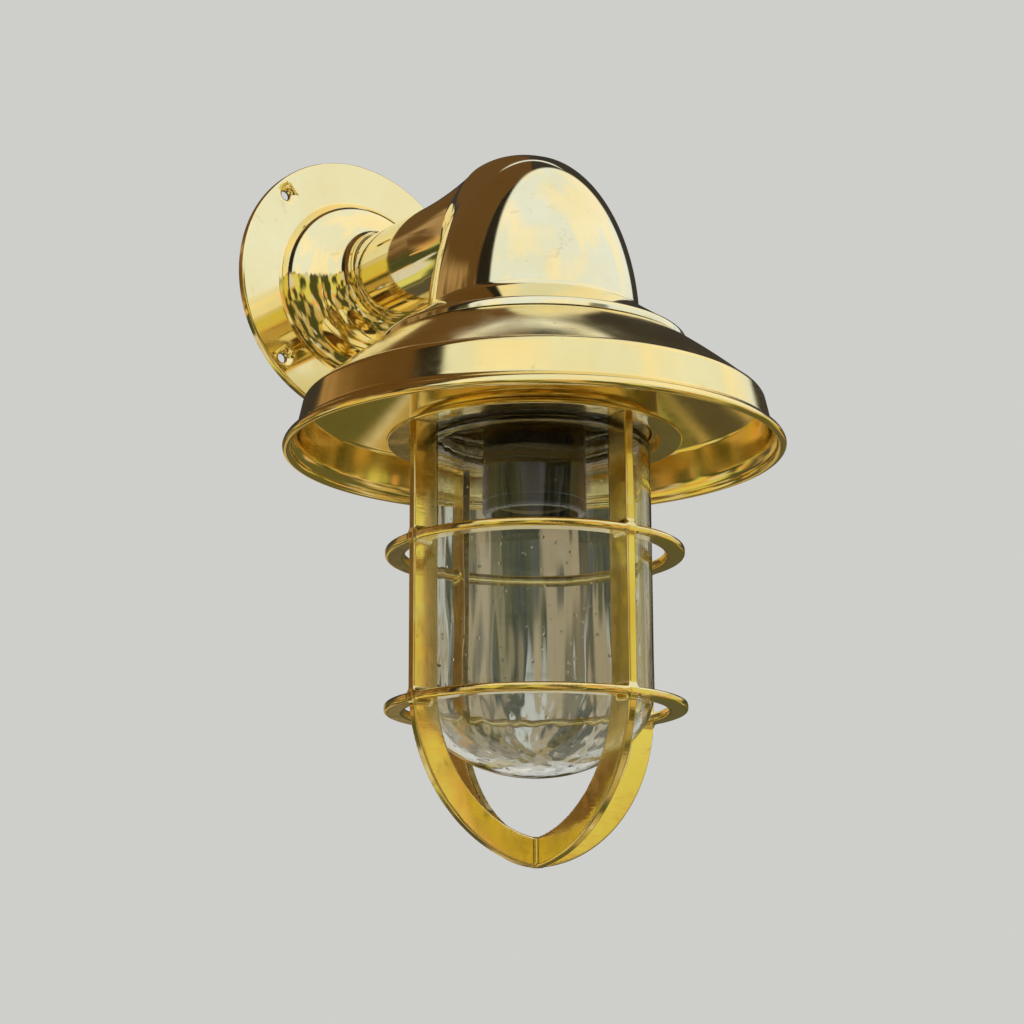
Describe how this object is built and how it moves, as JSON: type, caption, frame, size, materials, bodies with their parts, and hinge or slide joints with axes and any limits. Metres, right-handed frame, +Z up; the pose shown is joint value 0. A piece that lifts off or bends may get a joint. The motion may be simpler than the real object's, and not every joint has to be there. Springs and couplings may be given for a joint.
{
  "type": "wall-mounted ship lantern",
  "caption": "Brass marine wall lantern: domed hood on a short arm, round shade, clear screw-in glass globe inside a cast bar guard, and a black lamp holder.",
  "frame": {"origin": "centre of the wall face, where the four mounting screws' circle meets the wall", "axes": "+Y into the wall, so the lantern stands out along -Y; +Z up, parallel to the lamp axis; +X to the right for someone in the room facing the wall"},
  "size_m": [0.2, 0.234, 0.3286],
  "materials": {
    "flange_brass": "polished",
    "cast_brass": "mirror polished",
    "spun_brass": "polished, finely brushed on its band",
    "guard_brass": "polished casting with file marks on the bars' sides",
    "fittings_brass": "turned",
    "rubber": "matt",
    "clear_glass": "clear, pressed",
    "bakelite": "glossy black",
    "porcelain": "glazed white",
    "terminal_plastic": "matt ivory",
    "live_insulation": "satin brown",
    "neutral_insulation": "satin blue",
    "earth_insulation": "satin green with yellow"
  },
  "bodies": {
    "lantern_body": {"wall_gasket": "rubber", "wall_flange": "flange_brass", "arm_lock_nut": "fittings_brass", "hood_elbow": "cast_brass", "hood_foot": "cast_brass", "shade_seal": "rubber", "shade": "spun_brass", "shade_band": "spun_brass", "gallery_seal": "rubber", "gallery_ring": "fittings_brass", "clamp_screws": "fittings_brass", "holder_bracket": "fittings_brass", "bracket_screws": "fittings_brass", "earth_screw": "fittings_brass", "earth_washer": "fittings_brass", "holder_nipple": "fittings_brass", "nipple_nuts": "fittings_brass", "holder_cap": "bakelite", "holder_skirt": "bakelite", "holder_core": "porcelain", "screw_shell": "fittings_brass", "terminal_screws": "fittings_brass", "terminal_block": "terminal_plastic", "terminal_block_screw": "fittings_brass", "live_wire": "live_insulation", "neutral_wire": "neutral_insulation", "earth_wire": "earth_insulation"},
    "guard_seal_ring": {"guard_seal": "rubber"},
    "guard": {"guard_collar": "guard_brass", "guard_middle_ring": "guard_brass", "guard_bottom_ring": "guard_brass", "guard_side_hoop": "guard_brass", "guard_front_hoop": "guard_brass"},
    "globe_seal_ring": {"globe_seal": "rubber"},
    "globe": {"glass_globe": "clear_glass"},
    "contact": {"centre_contact": "fittings_brass"}
  },
  "joints": [
    {"name": "guard_travel", "type": "slide", "parent": "lantern_body", "child": "guard_seal_ring", "axis": [0, 0, -1], "range_m": [0, 0.009]},
    {"name": "guard_turn", "type": "hinge", "parent": "guard_seal_ring", "child": "guard", "pos_m": [0, -0.134, 0], "axis": [0, 0, -1], "range_deg": [0, 1080]},
    {"name": "globe_travel", "type": "slide", "parent": "lantern_body", "child": "globe_seal_ring", "axis": [0, 0, -1], "range_m": [0, 0.009]},
    {"name": "globe_turn", "type": "hinge", "parent": "globe_seal_ring", "child": "globe", "pos_m": [0, -0.134, 0], "axis": [0, 0, -1], "range_deg": [0, 1080]},
    {"name": "contact_press", "type": "slide", "parent": "lantern_body", "child": "contact", "axis": [0, 0, 1], "range_m": [0, 0.0015], "stiffness_N_per_m": 1200}
  ],
  "couplings": [
    {"joint": "guard_travel", "follows": "guard_turn", "m_per_rad": 0.000477},
    {"joint": "globe_travel", "follows": "globe_turn", "m_per_rad": 0.000477}
  ]
}
